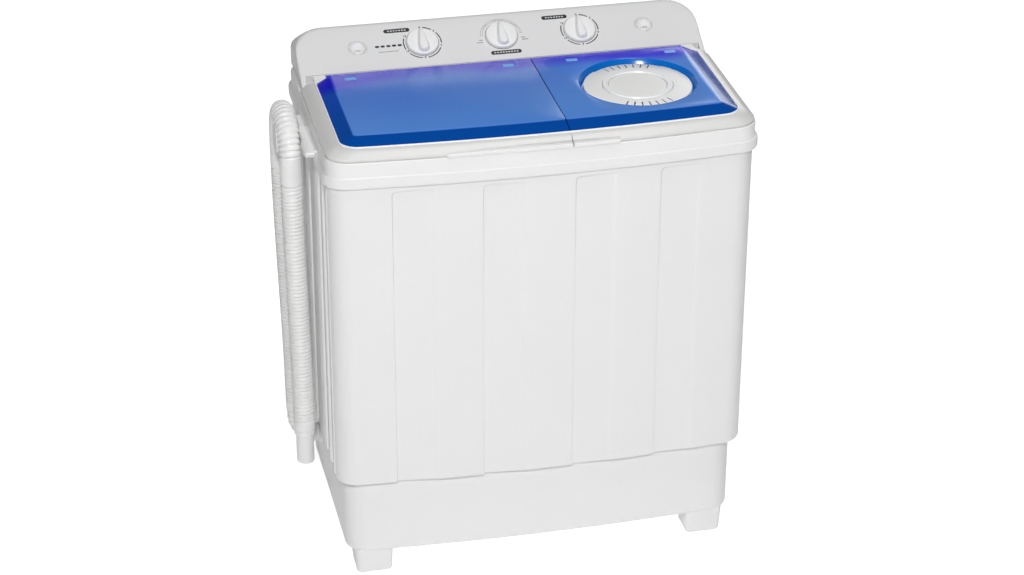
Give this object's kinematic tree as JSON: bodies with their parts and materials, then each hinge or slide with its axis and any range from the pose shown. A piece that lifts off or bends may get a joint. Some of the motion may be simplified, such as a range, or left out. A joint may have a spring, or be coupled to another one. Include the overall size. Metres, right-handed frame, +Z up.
{
  "type": "twin tub washer",
  "caption": "Free-standing twin tub washer: wash tub and spin basket under blue-windowed lids, sloped control console at the back, corrugated drain hose on the side.",
  "frame": {"origin": "on the floor, under the middle of the machine without its drain hose", "axes": "+Z up, -Y towards the machine's front, +X to its right as seen from the front"},
  "size_m": [0.752, 0.429, 0.8383],
  "materials": {
    "white_plastic": "moulded white plastic, satin",
    "inner_plastic": "smooth pale tub plastic",
    "blue_window": "translucent blue plastic",
    "hose_plastic": "flexible off-white plastic",
    "black_rubber": "moulded rubber",
    "plated_steel": "plated steel",
    "motor_steel": "painted steel",
    "grey_nylon": "moulded nylon"
  },
  "bodies": {
    "body": {"base": "white_plastic", "foot_pad_front_left": "black_rubber", "foot_pad_rear_left": "black_rubber", "foot_pad_front_right": "black_rubber", "foot_pad_rear_right": "black_rubber", "cabinet": "white_plastic", "rear_panel": "white_plastic", "cord_gland": "black_rubber", "top_frame": "white_plastic", "console": "white_plastic", "inlet_left": "white_plastic", "inlet_right": "white_plastic", "wash_timer_body": "grey_nylon", "selector_switch": "grey_nylon", "spin_timer_body": "grey_nylon", "lid_hinge_1": "grey_nylon", "lid_hinge_2": "grey_nylon", "lid_hinge_3": "grey_nylon", "lid_hinge_4": "grey_nylon", "wash_tub": "inner_plastic", "pulsator_bearing": "grey_nylon", "wash_motor": "motor_steel", "drive_belt": "black_rubber", "spin_chamber": "inner_plastic", "spin_seal": "black_rubber", "spin_motor": "motor_steel", "spin_mount_1": "black_rubber", "spin_mount_2": "black_rubber", "spin_mount_3": "black_rubber", "drain_valve": "grey_nylon", "spin_drain_duct": "hose_plastic", "capacitor": "motor_steel", "drain_outlet": "hose_plastic", "hose_back": "hose_plastic", "hose_bend": "hose_plastic", "hose_front": "hose_plastic", "hose_end": "hose_plastic", "hose_holder": "white_plastic"},
    "wash_lid": {"wash_lid_frame": "white_plastic", "wash_lid_window": "blue_window"},
    "spin_lid": {"spin_lid_frame": "white_plastic", "spin_lid_window": "blue_window", "spin_vent_cap": "white_plastic"},
    "wash_timer_control": {"wash_timer_knob": "white_plastic", "wash_timer_shaft": "plated_steel"},
    "selector_control": {"selector_knob": "white_plastic", "selector_shaft": "plated_steel"},
    "spin_timer_control": {"spin_timer_knob": "white_plastic", "spin_timer_shaft": "plated_steel"},
    "agitator": {"pulsator": "white_plastic", "pulsator_shaft": "plated_steel", "pulsator_pulley": "grey_nylon"},
    "motor_drive": {"motor_pulley": "grey_nylon"},
    "spinner": {"spin_basket": "inner_plastic", "spin_shaft": "plated_steel", "brake_drum": "plated_steel"},
    "press_disc": {"basket_disc": "white_plastic"},
    "brake": {"brake_lever": "motor_steel"},
    "filter": {"lint_filter": "white_plastic"},
    "plunger": {"valve_plunger": "black_rubber"}
  },
  "joints": [
    {"name": "wash_lid_hinge", "type": "hinge", "parent": "body", "child": "wash_lid", "pos_m": [-0.135, 0.1035, 0.7815], "axis": [-1, 0, 0], "range_deg": [0, 92]},
    {"name": "spin_lid_hinge", "type": "hinge", "parent": "body", "child": "spin_lid", "pos_m": [0.187, 0.1035, 0.7815], "axis": [-1, 0, 0], "range_deg": [0, 92]},
    {"name": "wash_timer_turn", "type": "hinge", "parent": "body", "child": "wash_timer_control", "pos_m": [-0.13, 0.15384, 0.81167], "axis": [0, 0.4924, -0.8704], "range_deg": [0, 300]},
    {"name": "selector_turn", "type": "hinge", "parent": "body", "child": "selector_control", "pos_m": [0.004, 0.15384, 0.81167], "axis": [0, 0.4924, -0.8704], "range_deg": [-90, 90]},
    {"name": "spin_timer_turn", "type": "hinge", "parent": "body", "child": "spin_timer_control", "pos_m": [0.138, 0.15384, 0.81167], "axis": [0, 0.4924, -0.8704], "range_deg": [0, 300]},
    {"name": "pulsator_spin", "type": "hinge", "parent": "body", "child": "agitator", "pos_m": [-0.147, -0.04, 0.303], "axis": [0, 0, 1], "continuous": true},
    {"name": "motor_pulley_spin", "type": "hinge", "parent": "body", "child": "motor_drive", "pos_m": [0.01, -0.085, 0.233], "axis": [0, 0, 1], "continuous": true},
    {"name": "basket_spin", "type": "hinge", "parent": "body", "child": "spinner", "pos_m": [0.188, -0.04, 0.345], "axis": [0, 0, 1], "continuous": true},
    {"name": "press_disc_slide", "type": "slide", "parent": "spinner", "child": "press_disc", "axis": [0, 0, 1], "range_m": [-0.24, 0]},
    {"name": "brake_turn", "type": "hinge", "parent": "body", "child": "brake", "pos_m": [0.13433, -0.03054, 0.178], "axis": [0, 0, -1], "range_deg": [0, 1.5]},
    {"name": "lint_filter_lift", "type": "slide", "parent": "body", "child": "filter", "axis": [0, 0, 1], "range_m": [0, 0.045]},
    {"name": "valve_lift", "type": "slide", "parent": "body", "child": "plunger", "axis": [0, 0, 1], "range_m": [0, 0.012], "stiffness_N_per_m": 120}
  ],
  "couplings": [
    {"joint": "motor_pulley_spin", "follows": "pulsator_spin", "ratio": 4.4667},
    {"joint": "brake_turn", "follows": "spin_lid_hinge", "ratio": 0.0157}
  ]
}
